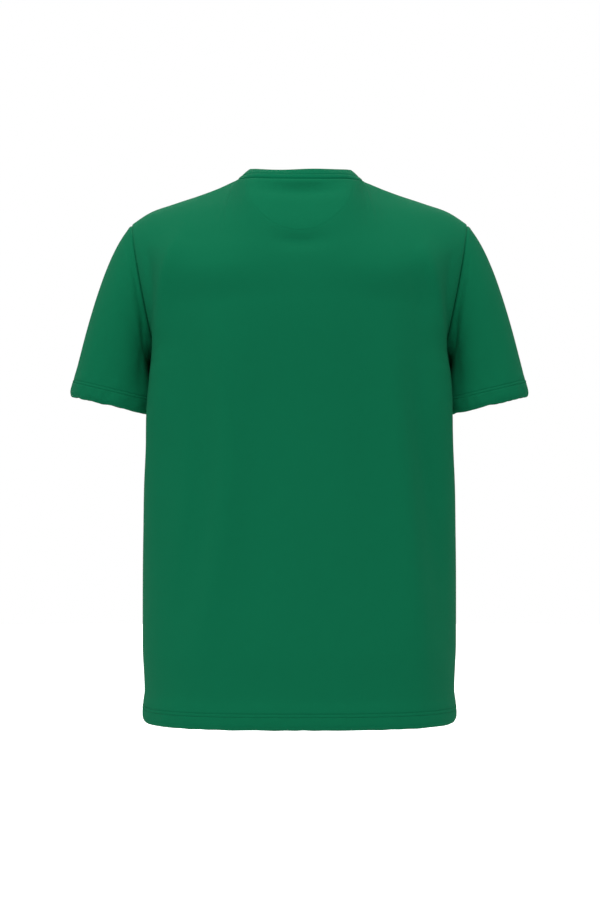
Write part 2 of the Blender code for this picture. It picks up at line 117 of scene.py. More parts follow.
SHOULDER_SEAM = (
    (NECK_HALF_WIDTH, 0.000),
    (0.095, -0.0073),
    (0.128, -0.0203),
    (0.161, -0.0313),
    (0.195, -0.0435),
    (SHOULDER_TIP[0], SHOULDER_TIP[2]),
)

# place on armhole: start direction x, y, z, start pull, end pull
SLEEVE_LINES = (
    (0.0, 0.68, 0.00, -0.73, 0.136, 0.360),
    (0.5, 0.66, 0.22, -0.72, 0.130, 0.200),
    (1.0, 0.84, 0.00, -0.54, 0.062, 0.060),
)

# How the solids are divided, which their easing depends on
FORM_NECK = 8
FORM_SHOULDER = 10
FORM_ARMHOLE = 14
FORM_BODY = 17
CURVE_SAMPLES = 1200

# Folds, in millimetres: x and z of start, middle and end, rise, half width
FOLDS = {1: (
    (150, -75, 172, -150, 184, -320, 5.5, 16),
    (192, -90, 190, -150, 186, -215, -4, 15),
    (-148, -90, -170, -150, -183, -300, 5, 16),
    (-192, -90, -190, -150, -186, -215, -4, 15),
    (-138, -100, -150, -150, -158, -210, -3, 16),
    (-106, -180, -150, -340, -180, -600, -4, 20),
    (130, -200, 165, -400, 160, -640, -2.5, 22),
), -1: (
    (165, -215, 135, -290, 125, -420, -5, 18),
    (-168, -220, -130, -300, -118, -440, -5, 18),
    (160, -170, 110, -215, 50, -240, -3, 16),
    (-160, -165, -105, -210, -45, -235, -3, 16),
)}
FOLD_MARGIN = 0.20  # share of the cloth beside its edges over which folds die out
FOLD_END = 0.04  # part of a half wave that is left off at both ends of a fold
FOLD_SAMPLES = 25

# Finer creases, which the solids leave out: the same columns
CREASES = {1: (
    (148, -70, 170, -135, 184, -210, 1.6, 6.5),  # crest of the left ridge
    (196, -82, 190, -140, 188, -220, -3, 7),  # groove between it and the seam
    (-158, -110, -174, -160, -184, -225, 1.4, 6.5),
    (-150, -112, -161, -142, -166, -180, -2.2, 6),
    (-196, -90, -190, -145, -187, -220, -2.8, 7),
    (-178, -225, -189, -260, -191, -300, 2.2, 12),
    (141, -170, 122, -386, 160, -600, -4.4, 18),
    (110, -170, 90, -386, 126, -600, 4.8, 19),
    (60, -200, 48, -430, 66, -620, -2.6, 24),
    (-114, -180, -132, -390, -164, -740, 6.2, 19),
    (-143, -180, -161, -360, -192, -640, -3.4, 16),
    (-70, -200, -82, -400, -104, -620, -2.4, 20),
    (-40, -83, -2, -89, 36, -83, -3.6, 10),  # below the half-moon
    (-64, -17, -2, -20.5, 66, -17, -5.8, 7.8),  # under the neck band
    (-60, -34, -2, -35, 62, -34, -2.2, 18),
    (60, -610, 50, -640, 45, -668, -0.8, 12),
    (-90, -600, -98, -635, -100, -668, -0.8, 14),
), -1: (
    (186, -90, 182, -150, 184, -218, -2.6, 7.5),
    (-187, -95, -183, -152, -184, -220, -2.8, 7.5),
    (168, -120, 162, -165, 150, -215, 1.4, 8),
    (-166, -118, -160, -168, -146, -212, 1.5, 8),
    (172, -232, 120, -262, 62, -262, -2.6, 9.5),
    (-172, -236, -118, -272, -55, -268, -2.8, 10),
    (108, -240, 128, -430, 116, -610, 4.2, 19),
    (68, -260, 82, -440, 74, -620, -3.2, 20),
    (-104, -240, -122, -440, -142, -640, 4.4, 18),
    (-66, -280, -78, -450, -88, -630, -3.4, 19),
    (-20, -300, -6, -460, -22, -640, 2, 24),
    (-6, -160, 4, -185, 0, -260, -1.8, 20),
    (55, -52, 30, -95, -28, -92, -1, 7.5),  # under the front neck
    (40, -560, 52, -615, 48, -668, -1.2, 14),
    (-60, -580, -66, -625, -58, -668, -1.1, 13),
)}
CREASE_MARGIN = 0.009  # distance from a seam where creases die out
CREASE_IN_HEM = 0.35  # share of a crease that goes on through the hem
CREASE_HEM_REACH = 0.02

# Sleeve creases: place round the armhole at start and end (0 over the shoulder, 1 underarm,
# minus for the front), then in millimetres: distance from the armhole at start and end, rise,
# half width
SLEEVE_CREASES = (
    (0.24, 0.66, 7.5, 8.5, -1.1, 4.2),
    (0.60, 0.78, 8.5, 20, -1.8, 5),
    (0.74, 0.70, 19, 90, -1.3, 5.5),
    (0.82, 0.90, 20, 150, 8.5, 23),
    (0.30, 0.80, 17, 24, 0.9, 7),
    (-0.26, -0.64, 8, 9, -1.1, 4.5),
    (-0.64, -0.92, 9, 16, -1.5, 5),
    (0.78, 0.55, 45, 125, -1.8, 12),
    (-0.80, -0.60, 40, 110, -1.8, 12),
    (0.30, 0.42, 60, 160, -1, 14),
    (-0.34, -0.44, 70, 170, -1.2, 13),
)
SLEEVE_CREASE_UNITS = (1, 1, 1000, 1000, 1000, 1000)
SLEEVE_GIRTH = 0.36  # cloth round the arm that the places are measured on

# Sewing -----
DITCH_DEPTH = 0.0011  # how far cloth turns in at a seam
DITCH_WIDTH = 0.0011
SEAM_PUFF = 0.0005  # soft swelling beside a seam
SEAM_PUFF_AT = 0.0045
SEAM_PUFF_WIDTH = 0.0028
GROOVE_DEPTHS = (0.00078, 0.00042)  # under the upper and the lower needle row
GROOVE_WIDTH = 0.00055
HEM_ROWS = (0.0200, 0.0161)  # needle rows of the body hem, above its edge
CUFF_ROWS = (0.0212, 0.0178)
HEM_FLARE = 0.0022  # how far the cloth above a hem lies behind it
CUFF_FLARE = 0.0004
HEM_FLARE_REACH = 0.018
HEM_FLARE_FADE = 0.06  # height over which the cloth comes back again
HEM_ROUND = 0.0011  # radius of the folded edge
HEM_ROLL = 0.0030  # how far the edge rolls in
HEM_ROLL_REACH = 0.0075
HEM_DROP = 0.0015  # how far the body hem hangs below the solids
HEM_DROP_REACH = 0.060
PUCKER = 0.00040  # how far the body hem puckers, and the cuffs
CUFF_PUCKER = 0.00085
PUCKER_PITCH = 0.021
OVER_AT = 0.006  # puckers above a hem: how high above it, their share and pitch
OVER_SHARE = 0.6
OVER_PITCH = 1.6
OVER_SHIFT = 0.3  # shifts along the waves, which make them differ
CUFF_SHIFT = 0.2
RIGHT_SHIFT = 0.11
SEAM_CALM = 0.012  # distance from a seam where the waves die out
HEM_WAVE = 0.0003  # how far the edge of a hem runs up and down
CUFF_WAVE = 0.0009
WAVE_PITCH = 0.034
WAVE_REACH = 0.014  # height over which the waves die out
WAVE_ROW = 8  # row that shows which way is up from the edge
BAND_STITCH = 0.44  # share of the neck band's width below its needle row
BAND_TOP = 0.93  # share of its width below its grid's last row
PATCH_RAISE = 0.00030  # how the half-moon shows through the back
PATCH_STITCH_IN = 0.0036
PATCH_END = 0.0004  # least height of cloth at its two corners
THREAD = 0.00017  # thread radius
STITCH = 0.0030
STITCH_GAP = 0.0006

# Finish of the cloth -----
LOOP_SWING = 0.32  # share of a loop's height that rises and falls along its wale
LOOP_SHADE = (0.80, 1.06)  # at the foot and at the top of a loop
TONE_SCALES = (7.0, 900.0)
FUZZ = 0.10  # range of the roughness
KNIT_BUMP = 0.6
MOON_BUMP = 0.3
MOON_STEP = (-0.0006, 0.0010)  # from outside to inside its outline
MOON_LINE_WIDTH = 0.0011
# painted light: the raised half-moon and its lines are painted lighter, as if they caught more light
MOON_PAINTED_LIGHT = {"Raised": 0.048, "Line": 0.03}  # how much lighter the half-moon and its lines are
MOON_END = 0.04  # angle left free at both ends of its needle row
JERSEY_GREEN = (0.0030, 0.1560, 0.0690)

# colour, width of a wale, height of a course, depth of the bump, roughness, marked by the half-moon
CLOTHS = {
    "green_jersey": (JERSEY_GREEN, 0.0009, 0.0007, 0.00016, 0.88, False),
    "green_jersey_back": (JERSEY_GREEN, 0.0009, 0.0007, 0.00016, 0.88, True),
    "green_rib": ((0.0012, 0.1600, 0.0715), 0.0026, 0.0008, 0.00060, 0.90, False),
    # the thread is darker than the cloth: painted shade of the needle-row grooves it lies in, where real
    # thread would match the cloth
    "green_thread": ((0.0012, 0.1300, 0.0580), 0.0004, 0.0004, 0.00003, 0.60, False),
}

# Cut pieces: flat size and area of the cloth that shows, and the threads sewn on it
CUTS = {
    "back_panel": ((0.56, 0.75), 0.372, ("body_hem_thread", "half_moon_thread")),
    "front_panel": ((0.56, 0.75), 0.350, ()),
    "sleeve_left": ((0.41, 0.24), 0.059, ("cuff_thread_left",)),
    "sleeve_right": ((0.41, 0.24), 0.059, ("cuff_thread_right",)),
    "collar_band": ((0.44, 0.0235), 0.0103, ("collar_thread",)),
    "back_neck_patch": ((0.142, 0.080), 0.0091, ()),
}

# How finely the cloth is divided: steps, distances beside seams, edges and needle rows
NECK_STEPS = 40
SHOULDER_STEPS = 42
SHOULDER_LENGTH = 0.15  # cloth length along the shoulder seam
BODY_STEPS = 112
ARMHOLE_STEPS = 62
SLEEVE_STEPS = 66
SLEEVE_SAMPLES = 500
SEAM_NEARBY = (0.0004, 0.0008, 0.0013, 0.0020, 0.0029, 0.0041, 0.0058)
HEM_NEARBY = (0.0, 0.0002, 0.0006, 0.0011, 0.0020, 0.0031, 0.0045, 0.0060, 0.0076, 0.0105, 0.0130, 0.0148)
GROOVE_NEARBY = (-0.0008, -0.00045, -0.0002, 0.0, 0.0002, 0.00045, 0.0008)
ABOVE_HEM = (0.0014, 0.0028, 0.0050, 0.0080, 0.0115, 0.0150)
BAND_CLEAR = 0.07  # share of the band's width kept even beside its needle row
PATCH_COLUMNS = 73
PATCH_ROWS = 24
PATCH_NEAR_EDGE = (1.0, 0.994, 0.985)
MOON_PLACES = 90
SHARP_ANGLE = math.radians(48)


# Curves -----
def smoothstep(t):
    """Cubic step from 0 to 1 that starts and ends level."""
    t = np.clip(t, 0.0, 1.0)
    return t * t * (3.0 - 2.0 * t)


def bell(distance, width):
    """Bell curve of the distance."""
    return np.exp(-(distance / width) ** 2)


def hermite(start, start_pull, end, end_pull, t):
    """Cubic from start to end that leaves and arrives along the two pulls."""
    return ((2 * t**3 - 3 * t**2 + 1) * start + (t**3 - 2 * t**2 + t) * start_pull
            + (3 * t**2 - 2 * t**3) * end + (t**3 - t**2) * end_pull)


def through(knots, values, at, end_slope=None):
    """Smooth curve through values at knots, read at the given places: cubics whose slope
    at a knot is the mean of the two chords beside it, weighted by their lengths."""
    knots = np.asarray(knots, float)
    values = np.asarray(values, float)
    steps = np.diff(knots).reshape((-1,) + (1,) * (values.ndim - 1))
    chords = np.diff(values, axis=0) / steps
    slopes = np.empty_like(values)
    slopes[1:-1] = (chords[:-1] * steps[1:] + chords[1:] * steps[:-1]) / (steps[1:] + steps[:-1])
    slopes[0] = 1.5 * chords[0] - 0.5 * slopes[1]
    slopes[-1] = 1.5 * chords[-1] - 0.5 * slopes[-2] if end_slope is None else end_slope
    at = np.asarray(at, float)
    k = np.clip(np.searchsorted(knots, at, side="right") - 1, 0, len(knots) - 2)
    span = steps[k]
    t = (at - knots[k]).reshape((-1,) + (1,) * (values.ndim - 1)) / span
    return hermite(values[k], slopes[k] * span, values[k + 1], slopes[k + 1] * span, t)


def lengths(points, axis=0):
    """Distance along lines of points, from the first one of each."""
    steps = np.linalg.norm(np.diff(points, axis=axis), axis=-1)
    start = np.zeros_like(np.take(steps, [0], axis=axis))
    return np.concatenate((start, np.cumsum(steps, axis=axis)), axis=axis)


def read(line, length, at):
    """Line read at distances along it, where its own points lie at the given lengths."""
    return np.stack([np.interp(at, length, line[:, k]) for k in range(3)], axis=-1)


def spaced(points, fractions):
    """Points at the given fractions of a fine polyline's length."""
    length = lengths(points)
    return read(points, length, fractions * length[-1])


def signed_power(value, power):
    return np.sign(value) * np.abs(value) ** power


def closed(grid):
    """Grid of a tube, with its first column once more at the end."""
    return np.concatenate((grid, grid[:, :1]), axis=1)


def at_columns(grid, column):
    """Grid read between its columns."""
    low = np.floor(column).astype(int)
    part = (column - low)[None, :, None]
    return (1 - part) * grid[:, low] + part * grid[:, low + 1]


def unit(vectors):
    return vectors / np.linalg.norm(vectors, axis=-1, keepdims=True)


# Seam lines -----
def armhole(w, facing):
    """Half of the left armhole, armpit (w 0) to shoulder tip (w 1): height and width follow
    a smooth step, and the line bows back (facing +1) or forward (-1) as a parabola."""
    rise = smoothstep(w)[:, None]
    line = (1 - rise) * np.array(ARMPIT) + rise * np.array(SHOULDER_TIP)
    line[:, 1] += facing * 4 * ARMHOLE_DEPTH * w * (1 - w)
    return line


def neck_curve(half_width, point, middles, facing):
    """Quarter of a neck edge, centre line to high point: an ellipse seen from above, whose
    height falls to the centre with a power of its reach."""
    angle = np.linspace(0.0, math.pi / 2, CURVE_SAMPLES)
    reach = np.cos(angle)
    y, z = middles[facing]
    return np.column_stack((
        half_width * np.sin(angle),
        point[0] + (y - point[0]) * reach,
        point[1] + (z - point[1]) * np.abs(reach) ** NECK_POWERS[facing],
    ))


def neck_seam(facing):
    """Half of the seam between the neck band and the back (facing 1) or front (-1)."""
    return neck_curve(NECK_HALF_WIDTH, (NECK_POINT_Y, 0.0), NECK_MIDDLES, facing)


def band_edge(facing):
    """Half of the neck band's top edge."""
    return neck_curve(BAND_HALF_WIDTH, BAND_POINT, BAND_MIDDLES, facing)


def shoulder_seam():
    """Left shoulder seam, high point to tip."""
    table = np.array(SHOULDER_SEAM)
    x = np.linspace(table[0, 0], table[-1, 0], CURVE_SAMPLES)
    along = (x - x[0]) / (x[-1] - x[0])
    y = NECK_POINT_Y + (SHOULDER_TIP[1] - NECK_POINT_Y) * along
    return np.column_stack((x, y, through(table[:, 0], table[:, 1], x)))


def cloth_row(z):
    """Row below the armpit: 0 at the armpit, and falling by 1 for each unit of cloth."""
    return (z - ARMPIT[2]) / LOFT_UNIT


def side_line(rows, facing):
    """Side seam below the armpit and armhole above it."""
    knots = [cloth_row(row[0]) for row in BODY_SECTIONS]
    ends = [(row[1] - row[6], 0.0, row[0]) for row in BODY_SECTIONS]
    seam = through(knots, ends, rows[rows < 0])
    return np.concatenate((seam, armhole(rows[rows >= 0], facing)))


# Front and back -----
def pinch_bell(y):
    """Flat-topped bell about the side seam."""
    return np.exp(-(y / PINCH_REACH) ** 4)


def half_section(centre, side, square, round_off, pinch):
    """Half of one section, centre line to side: width is a power of sine and depth a power
    of cosine, and a flat bell curve about the side seam pinches it in."""
    angle = np.linspace(0.0, math.pi / 2, CURVE_SAMPLES)
    across = np.sin(angle) ** (2 / square)
    y = side[1] + (centre[0] - side[1]) * np.abs(np.cos(angle)) ** (2 * round_off)
    x = (side[0] + pinch * pinch_bell(side[1])) * across - pinch * pinch_bell(y)
    z = centre[1] + (side[2] - centre[1]) * across ** 2
    return np.column_stack((x, y, z))


def section_lines(facing):
    """Half sections of the front or back with their rows: those below the armpit, then those
    that end on the armhole."""
    for z, half_width, back_depth, front_depth, back_square, front_square, pinch in BODY_SECTIONS:
        depth, square = (back_depth, back_square) if facing > 0 else (-front_depth, front_square)
        side = (half_width - pinch, 0.0, z)
        yield cloth_row(z), half_section((depth, z), side, square, 1 / square, pinch)
    for w, z, depth, square, round_off, pinch in UPPER_SECTIONS[facing]:
        side = armhole(np.array([w]), facing)[0]
        yield w, half_section((depth, z), side, square, round_off, pinch)


def panel_columns(facing, neck, shoulder):
    """Columns from centre to side, from places along the neck and the shoulder seam."""
    neck_length = lengths(neck_seam(facing))[-1]
    shoulder_length = lengths(shoulder_seam())[-1]
    turn = neck_length / (neck_length + shoulder_length)
    return np.concatenate((turn * neck, turn + (1 - turn) * shoulder[1:])), turn


def form_rows():
    """Rows of the solids: below 0 they count down from the armpit, 0 to 1 is the armhole."""
    hem_top = HEM_Z + HEM_HEIGHT
    levels = np.concatenate((
        [HEM_Z, hem_top - HEM_SLOPE, hem_top],
        np.linspace(hem_top, ARMPIT[2], FORM_BODY)[1:-1],
    ))
    return np.concatenate((cloth_row(levels), np.linspace(0.0, 1.0, FORM_ARMHOLE + 1)))


def plain_half(facing, neck, shoulder, rows):
    """Left half of the front or back: sections joined by smooth curves up the cloth, which
    lean in to the neck, cross the shoulder level, and turn between the two."""
    columns, turn = panel_columns(facing, neck, shoulder)
    knots, sections = [], []
    for knot, line in section_lines(facing):
        knots.append(knot)
        sections.append(spaced(line, columns))
    knots.append(1.0)
    sections.append(np.vstack((spaced(neck_seam(facing), neck), spaced(shoulder_seam(), shoulder)[1:])))

    at_neck = np.array(NECK_LEANS[facing])
    at_point = np.array(POINT_PULL) * (1, -facing, 1)
    over = np.array((0.0, -facing * SHOULDER_PULL, 0.0))
    round_neck = smoothstep(columns / turn)[:, None]
    along_shoulder = smoothstep((columns - turn) / (1 - turn) * 2)[:, None]
    arrival = (1 - round_neck) * at_neck + (round_neck - along_shoulder) * at_point + along_shoulder * over
    grid = through(knots, sections, rows, arrival)

    grid[-1] = sections[-1]
    edge = side_line(rows, facing)
    ease = smoothstep((columns - ARMHOLE_EASE) / (1 - ARMHOLE_EASE))[:, None]
    grid += (edge - grid[:, -1])[:, None, :] * ease
    grid[:, -1] = edge
    return grid, columns


def easing(facing, columns, rows):
    """How far easing moves the cloth.  Points of the solids' own grid are drawn towards the
    mean of their neighbours, and the moves are read by smooth curves at finer places."""
    form = form_rows()
    neck = np.linspace(0.0, 1.0, FORM_NECK + 1)
    shoulder = np.linspace(0.0, 1.0, FORM_SHOULDER + 1)
    half, places = plain_half(facing, neck, shoulder, form)
    grid = np.concatenate((half[:, :0:-1] * MIRROR, half), axis=1)
    plain = grid.copy()
    across = np.concatenate((places[:0:-1], places))[None, :]
    share = np.zeros(grid.shape[:2])
    for column, row, reach_across, reach_up, most in EASED_PLACES:
        away = ((across - column) / reach_across) ** 2 + ((form[:, None] - row) / reach_up) ** 2
        share = np.maximum(share, most * np.exp(-away))
    share = share[1:-1, 1:-1, None]
    for _ in range(EASE_STEPS):
        mean = (grid[:-2, 1:-1] + grid[2:, 1:-1] + grid[1:-1, :-2] + grid[1:-1, 2:]) / 4
        grid[1:-1, 1:-1] += share * (mean - grid[1:-1, 1:-1])
    moves = (grid - plain)[:, len(places) - 1:]
    finer = through(places, moves.transpose(1, 0, 2), columns).transpose(1, 0, 2)
    return through(form, finer, rows)


def along_curve(points, folds):
    """For each fold, the distance of every point from its curve in x and z, and how far
    along the curve it is."""
    t = np.linspace(0.0, 1.0, FOLD_SAMPLES)[:, None]
    flat = points[..., ::2].reshape(-1, 2)
    for x1, z1, x2, z2, x3, z3, rise, width in np.array(folds) / 1000:
        start, middle, end = np.array((x1, z1)), np.array((x2, z2)), np.array((x3, z3))
        line = (1 - t) ** 2 * start + 2 * t * (1 - t) * (2 * middle - (start + end) / 2) + t ** 2 * end
        away, along = np.full(len(flat), np.inf), np.zeros(len(flat))
        for i in range(FOLD_SAMPLES - 1):
            run = line[i + 1] - line[i]
            share = np.clip((flat - line[i]) @ run / (run @ run), 0.0, 1.0)
            gap = np.hypot(*(flat - line[i] - share[:, None] * run).T)
            along = np.where(gap < away, (i + share) / (FOLD_SAMPLES - 1), along)
            away = np.minimum(away, gap)
        yield away.reshape(points.shape[:-1]), along.reshape(points.shape[:-1]), rise, width


def ridge(away, along, rise, width):
    """Soft ridge or trough: a bell across its line, a sine along it."""
    return rise * np.sin(math.pi * (FOLD_END + (1 - 2 * FOLD_END) * along)) * bell(away, width)


def fold_height(points, folds):
    """Sum of the ridges and troughs along the folds' curves."""
    height = np.zeros(points.shape[:-1])
    for fold in along_curve(points, folds):
        height += ridge(*fold)
    return height


def normals(grid, wraps=False):
    """Unit normals of a grid, from the directions of its columns and rows."""
    if wraps:
        along = np.roll(grid, -1, axis=1) - np.roll(grid, 1, axis=1)
    else:
        along = np.gradient(grid, axis=1)
    return unit(np.cross(along, np.gradient(grid, axis=0)))


# Fine places of the cloth -----
def up_to_seam(start, end, steps, unit_length=1.0):
    """Even places, then closer ones up to the seam that they end at."""
    near = end - np.array(SEAM_NEARBY[::-1]) / unit_length
    return np.concatenate((np.linspace(start, 2 * near[0] - near[1], steps), near, [end]))


def hem_levels(needle_rows):
    """Distances above a hem's edge: close together at the fold, in each needle row's groove
    and above the hem."""
    upper, lower = needle_rows
    near = np.array(GROOVE_NEARBY)
    edge = np.array([d for d in HEM_NEARBY if d < lower + 2 * near[0]])
    return np.concatenate((
        edge, lower + near, [(upper + lower) / 2], upper + near, upper + np.array(ABOVE_HEM),
    ))


def cloth_rows():
    """Rows of the front and back, in the same measure as the solids' rows."""
    hem = HEM_Z + hem_levels(HEM_ROWS)
    body = np.linspace(hem[-1], ARMPIT[2], BODY_STEPS)[1:-1]
    below = cloth_row(np.concatenate((hem, body)))
    return np.concatenate((below, up_to_seam(0.0, 1.0, ARMHOLE_STEPS, LOFT_UNIT)))


# Sewn edges -----
def seam_height(distance):
    """Cloth beside a seam: it turns in at the seam, and swells a little next to it."""
    puff = bell(distance - SEAM_PUFF_AT, SEAM_PUFF_WIDTH)
    return -DITCH_DEPTH * bell(distance, DITCH_WIDTH) + SEAM_PUFF * puff


def seams_height(first, second):
    """Two seams that meet: the deeper ditch and the higher swelling hold."""
    ditch = np.maximum(*(bell(away, DITCH_WIDTH) for away in (first, second)))
    puff = np.maximum(*(bell(away - SEAM_PUFF_AT, SEAM_PUFF_WIDTH) for away in (first, second)))
    return -DITCH_DEPTH * ditch + SEAM_PUFF * puff * (1 - ditch)


def ripple(along, pitch):
    """Irregular waves along a hem: two sines of unlike length, the first of them swaying."""
    turn = 2 * math.pi * along / pitch
    return 0.62 * np.sin(turn + 1.9 * np.sin(turn / 3.7)) + 0.38 * np.sin(turn / 1.73 + 1.1)


def hem_height(above, needle_rows, along, calm, pucker, back):
    """Height of the cloth at each distance above a hem's edge: the edge is a quarter round and
    rolls in by a parabola, the hem stands proud and puckers, each needle row is a narrow
    groove, and the cloth over the hem lies a little behind it."""
    top = needle_rows[0]
    inside = 1 - smoothstep((above - top) / HEM_STEP_WIDTH)
    short = np.clip(HEM_ROUND - above, 0.0, HEM_ROUND)
    height = HEM_STEP * inside - (HEM_ROUND - np.sqrt(HEM_ROUND**2 - short**2))
    over = above - top
    fade = 1 - smoothstep((over - HEM_FLARE_REACH) / HEM_FLARE_FADE)
    flare = smoothstep(over / HEM_FLARE_REACH) * fade
    height -= back * flare
    height -= HEM_ROLL * np.clip(1 - above / HEM_ROLL_REACH, 0.0, 1.0) ** 2
    swell = np.sin(math.pi * np.clip(above / top, 0.0, 1.0)) ** 2
    height += pucker * ripple(along, PUCKER_PITCH) * calm * swell
    drag = ripple(along + OVER_SHIFT, OVER_PITCH * PUCKER_PITCH)
    height += OVER_SHARE * pucker * drag * calm * bell(over - OVER_AT, OVER_AT)
    for row, depth in zip(needle_rows, GROOVE_DEPTHS):
        height -= depth * bell(above - row, GROOVE_WIDTH)
    return height


def waved(grid, above, along, rise):
    """Grid whose lowest rows run up and down a little, as waves along the hem that die out
    above it."""
    up = unit(grid[WAVE_ROW] - grid[0])
    wave = rise * ripple(along, WAVE_PITCH) * (1 - smoothstep(above / WAVE_REACH))
    return grid + wave[..., None] * up


def hem_thickness(above, top):
    """Two layers up to just below the upper needle row, where the turned-up edge ends."""
    return JERSEY + HEM_FOLD * (1 - smoothstep((above - top + FOLD_BELOW) / FOLD_WIDTH))


# Pieces as grids -----
def panel(facing):
    """Front or back as a piece: its form, its height along the normals, and its measures."""
    neck = np.linspace(0.0, 1.0, NECK_STEPS + 1)
    rows = cloth_rows()
    shoulder = up_to_seam(0.0, 1.0, SHOULDER_STEPS, SHOULDER_LENGTH)
    half, columns = plain_half(facing, neck, shoulder, rows)
    half = half + easing(facing, columns, rows)
    first, second = (half, half * MIRROR)[::facing]
    grid = np.concatenate((first[:, ::-1], second[:, 1:]), axis=1)
    places = np.concatenate((columns[::-1], columns[1:]))[None, :]
    turn = columns[NECK_STEPS]

    across = lengths(grid, axis=1)
    to_side = np.minimum(across, across[:, -1:] - across)
    up = lengths(grid, axis=0)
    to_top = up[-1:] - up
    calm = smoothstep((1 - places) / FOLD_MARGIN) * smoothstep((1 - rows[:, None]) / FOLD_MARGIN)
    calm_near = smoothstep(to_side / CREASE_MARGIN) * smoothstep(to_top / CREASE_MARGIN)
    in_hem = CREASE_IN_HEM + (1 - CREASE_IN_HEM) * smoothstep((up - HEM_HEIGHT) / CREASE_HEM_REACH)
    height = fold_height(grid, FOLDS[facing]) * calm
    height += fold_height(grid, CREASES[facing]) * calm_near * in_hem
    height += seams_height(to_side, to_top)
    centre = across - across[:, across.shape[1] // 2][:, None]
    calm_side = smoothstep(to_side / SEAM_CALM)
    height += hem_height(up, HEM_ROWS, centre, calm_side, PUCKER, HEM_FLARE)
    grid = waved(grid, up, centre, HEM_WAVE * calm_side)
    grid[..., 2] -= HEM_DROP * (1 - smoothstep(up / HEM_DROP_REACH))
    reach = np.broadcast_to(places / turn / PATCH_REACH, to_top.shape)
    return {
        "form": grid, "height": height, "thickness": hem_thickness(up, HEM_ROWS[0]),
        "uv": np.stack((centre, up), axis=-1),
        "moon": np.stack((reach, to_top / PATCH_DEPTH), axis=-1), "wraps": False,
    }


def sleeve_levels(length):
    """Distances up one line of the sleeve: cuff hem, even steps, then close to the armhole."""
    hem = hem_levels(CUFF_ROWS)
    return np.concatenate((hem[:-2], up_to_seam(hem[-2], length, SLEEVE_STEPS)))


def sleeve_form():
    """Left sleeve: cubic curves from the armhole to the tilted oval cuff, over the shoulder
    first and then round by the back of the arm."""
    t = np.linspace(1.0, 0.0, SLEEVE_SAMPLES)[:, None, None]
    w = cloth_rows()
    w = w[w >= 0][::-1]
    table = np.array(SLEEVE_LINES)
    pulls = through(table[:, 0], table[:, 1:], 1 - w)
    angle = np.linspace(0.0, math.pi, CURVE_SAMPLES)
    cuff_across = CUFF_HALF[0] * signed_power(np.cos(angle), 2 / CUFF_ROUND)
    cuff_deep = CUFF_HALF[1] * np.sin(angle) ** (2 / CUFF_ROUND)
    lean = np.array((math.sin(SLEEVE_LEAN), 0.0, -math.cos(SLEEVE_LEAN)))
    halves = []
    for facing in (1, -1):
        top = armhole(w, facing)
        length = lengths(top)
        cuff = np.array(CUFF_CENTRE) + np.column_stack((
            cuff_across * math.cos(CUFF_TILT), facing * cuff_deep, cuff_across * math.sin(CUFF_TILT),
        ))
        cuff = spaced(cuff, length / length[-1])
        start = unit(pulls[:, :3] * (1, facing, 1)) * pulls[:, 3:4]
        lines = hermite(top, start, cuff, lean * pulls[:, 4:5], t)
        columns = []
        for i in range(len(w)):
            line = lines[:, i]
            whole = lengths(line)[-1]
            columns.append(spaced(line, sleeve_levels(whole) / whole))
        halves.append(np.stack(columns, axis=1))
        halves[-1][-1] = top
    place = np.concatenate((1 - w, -(1 - w[-2:0:-1])))
    return np.concatenate((halves[0], halves[1][:, -2:0:-1]), axis=1), place


def sleeve_creases(place, below, girth):
    """Straight soft creases on the opened-out sleeve."""
    height = np.zeros(below.shape)
    x = place * girth / 2
    for start, end, high, low, rise, width in np.array(SLEEVE_CREASES) / SLEEVE_CREASE_UNITS:
        a = np.array((start * girth / 2, high))
        b = np.array((end * girth / 2, low))
        run = b - a
        along = ((x - a[0]) * run[0] + (below - a[1]) * run[1]) / (run @ run)
        kept = np.clip(along, 0.0, 1.0)
        away = np.hypot(x - a[0] - kept * run[0], below - a[1] - kept * run[1])
        height += ridge(away, kept, rise, width)
    return height


def sleeve(side):
    """Sleeve as a piece, left (side 1) or right (side -1): a tube with its seam underarm."""
    form, place = sleeve_form()
    up = lengths(form, axis=0)
    below = up[-1:] - up
    around = lengths(closed(form), axis=1)
    girth = around[:, -1:]
    under = int(np.argmax(place))
    from_under = np.abs(around[:, :-1] - around[:, under][:, None])
    from_under = np.minimum(from_under, girth - from_under)
    height = sleeve_creases(place[None, :], below, SLEEVE_GIRTH)
    height += seams_height(below, from_under)
    wave = around[:, :-1] + (0.0 if side > 0 else RIGHT_SHIFT)
    calm = smoothstep(from_under / SEAM_CALM)
    height += hem_height(up, CUFF_ROWS, wave, calm, CUFF_PUCKER, CUFF_FLARE)
    form = waved(form, up, wave + CUFF_SHIFT, CUFF_WAVE * calm)
    thickness = hem_thickness(up, CUFF_ROWS[0])
    uv = np.stack((around, closed(up)), axis=-1)
    if side < 0:
        form = form[:, ::-1] * MIRROR
        height, thickness = height[:, ::-1], thickness[:, ::-1]
        uv = np.concatenate((uv[:, -2::-1], uv[:, :1]), axis=1)
    return {"form": form, "height": height, "thickness": thickness, "uv": uv, "wraps": True}


def band_loops():
    """Seam and top edge of the neck band, from the left high point round by the back."""
    places = np.linspace(0.0, 1.0, NECK_STEPS + 1)
    loops = []
    for edge in (neck_seam, band_edge):
        back, front = spaced(edge(1), places), spaced(edge(-1), places)
        halves = (back[::-1], (back * MIRROR)[1:], (front * MIRROR)[-2::-1], front[1:-1])
        loops.append(np.concatenate(halves))
    return loops


